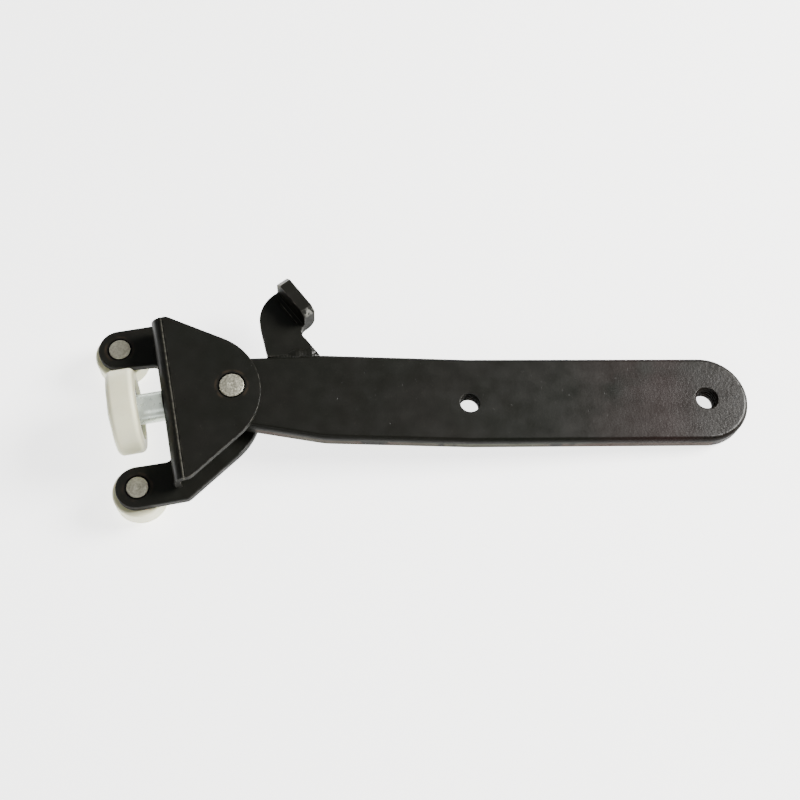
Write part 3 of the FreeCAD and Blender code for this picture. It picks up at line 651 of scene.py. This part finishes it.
# The cover's and the ears' paint have painted shade in the gap round each rivet.
PAINT_COVER = black_paint("cover_paint", lines=COVER_LINES, rivets=[(PIVOT, 4.0 * MM)])
PAINT_EARS = black_paint("ear_paint", rivets=[(centre, 3.5 * MM) for centre in GUIDES.values()])
ZINC_LEVEL = turned_metal("level_zinc", LOAD_AXIS, (0.66, 0.73, 0.66), (0.52, 0.58, 0.53), 0.30, 0.55)
ZINC_UPRIGHT = turned_metal("upright_zinc", UP, (0.56, 0.60, 0.56), (0.45, 0.49, 0.46), 0.32)
BEARING_STEEL = turned_metal("bearing_steel", LOAD_AXIS, (0.62, 0.62, 0.63), (0.52, 0.52, 0.54), 0.18)
BRONZE = turned_metal("bearing_bronze", UP, (0.56, 0.38, 0.18), (0.42, 0.27, 0.12), 0.34)
NYLON = nylon("ivory_nylon")
PIVOT_STEEL = rivet_steel("pivot_rivet_steel", PIVOT)
GUIDE_STEEL = {side: rivet_steel(f"guide_rivet_steel_{side}", at) for side, at in GUIDES.items()}

give(PAINT_ARM, "arm_bar")
give(PAINT_LUG, "catch_lug")
give(PAINT_COVER, "cover_plate")
give(PAINT_EARS, "ear_plate")
give(ZINC_LEVEL, "load_axle", "load_washer")
give(ZINC_UPRIGHT, "pivot_washer_upper", "pivot_washer_lower", "guide_washer_right", "guide_washer_left")
give(BEARING_STEEL, *[name for name in NODES if name.startswith("load_bearing_")])
give(BRONZE, "pivot_bush", "guide_sleeve_right", "guide_sleeve_left")
# The load tyre has painted shade on its inner flank, towards the bracket.
give(nylon("load_tyre_nylon", tuple(-OUT)), "load_tyre")
give(NYLON, "guide_roller_right", "guide_roller_left")
give(PIVOT_STEEL, "pivot_pin")
for side, steel in GUIDE_STEEL.items():
    give(steel, f"guide_pin_{side}")

HOLES = {side: Vector(MOUNTS[f"arm_thread_{side}"]["pos_m"]) for side in ("inner", "outer")}
ARM_LOW, ARM_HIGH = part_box("arm_bar")
thread("thread_inner", HOLES["inner"], ARM_LOW.z + 0.1 * MM, ARM_HIGH.z - 0.1 * MM, PAINT_ARM)
thread("thread_outer", HOLES["outer"], ARM_LOW.z + 0.1 * MM, ARM_HIGH.z - 0.6 * MM, PAINT_ARM)

# Rings that the riveting tool left, different on each rivet.
SWIRL = ((0.0, 0.16, -0.09), (0.38, 0.07, 0.06), (0.84, 0.06, -0.04))
PRESSED = ((0.0, 0.30, -0.03), (0.58, 0.05, -0.03), (0.80, 0.05, -0.05), (0.90, 0.06, 0.03))
WORN = ((0.0, 0.22, -0.05), (0.42, 0.08, 0.035), (0.80, 0.07, -0.03))
rivet_face("pivot_rivet_face", "pivot_pin", PIVOT, PIVOT_FACE_RADIUS, WORN, PIVOT_STEEL)
for side, marks in (("right", PRESSED), ("left", SWIRL)):
    rivet_face(
        f"guide_rivet_face_{side}", f"guide_pin_{side}", GUIDES[side], GUIDE_FACE_RADIUS, marks,
        GUIDE_STEEL[side],
    )

ROOT_LEFT, ROOT_RIGHT = lug_root()
SINK = UP * 0.95 * MM
weld("lug_weld", ROOT_LEFT - SINK, ROOT_RIGHT - SINK, 1.15 * MM, PAINT_LUG, "arm", swell=0.3, squash=0.95)
CAP_LEFT = ROOT_LEFT.lerp(ROOT_RIGHT, 0.36) + Vector((0, 0.5 * MM, -0.2 * MM))
CAP_RIGHT = ROOT_LEFT.lerp(ROOT_RIGHT, 0.93) + Vector((0, 1.2 * MM, -0.2 * MM))
weld("lug_weld_cap", CAP_LEFT, CAP_RIGHT, 1.6 * MM, PAINT_LUG, "arm", squash=0.45)
# Two beads along the web's foot, on the ear plate. SIDE points to the left.
WEB_FOOT = PIVOT + OUT * 20.8 * MM + UP * (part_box("ear_plate")[1].z - PIVOT.z)
for name, sign in (("web_weld_right", -1), ("web_weld_left", 1)):
    inner, outer = (WEB_FOOT + SIDE * sign * reach for reach in (9 * MM, 22 * MM))
    weld(name, inner, outer, 0.9 * MM, PAINT_EARS, "bracket")
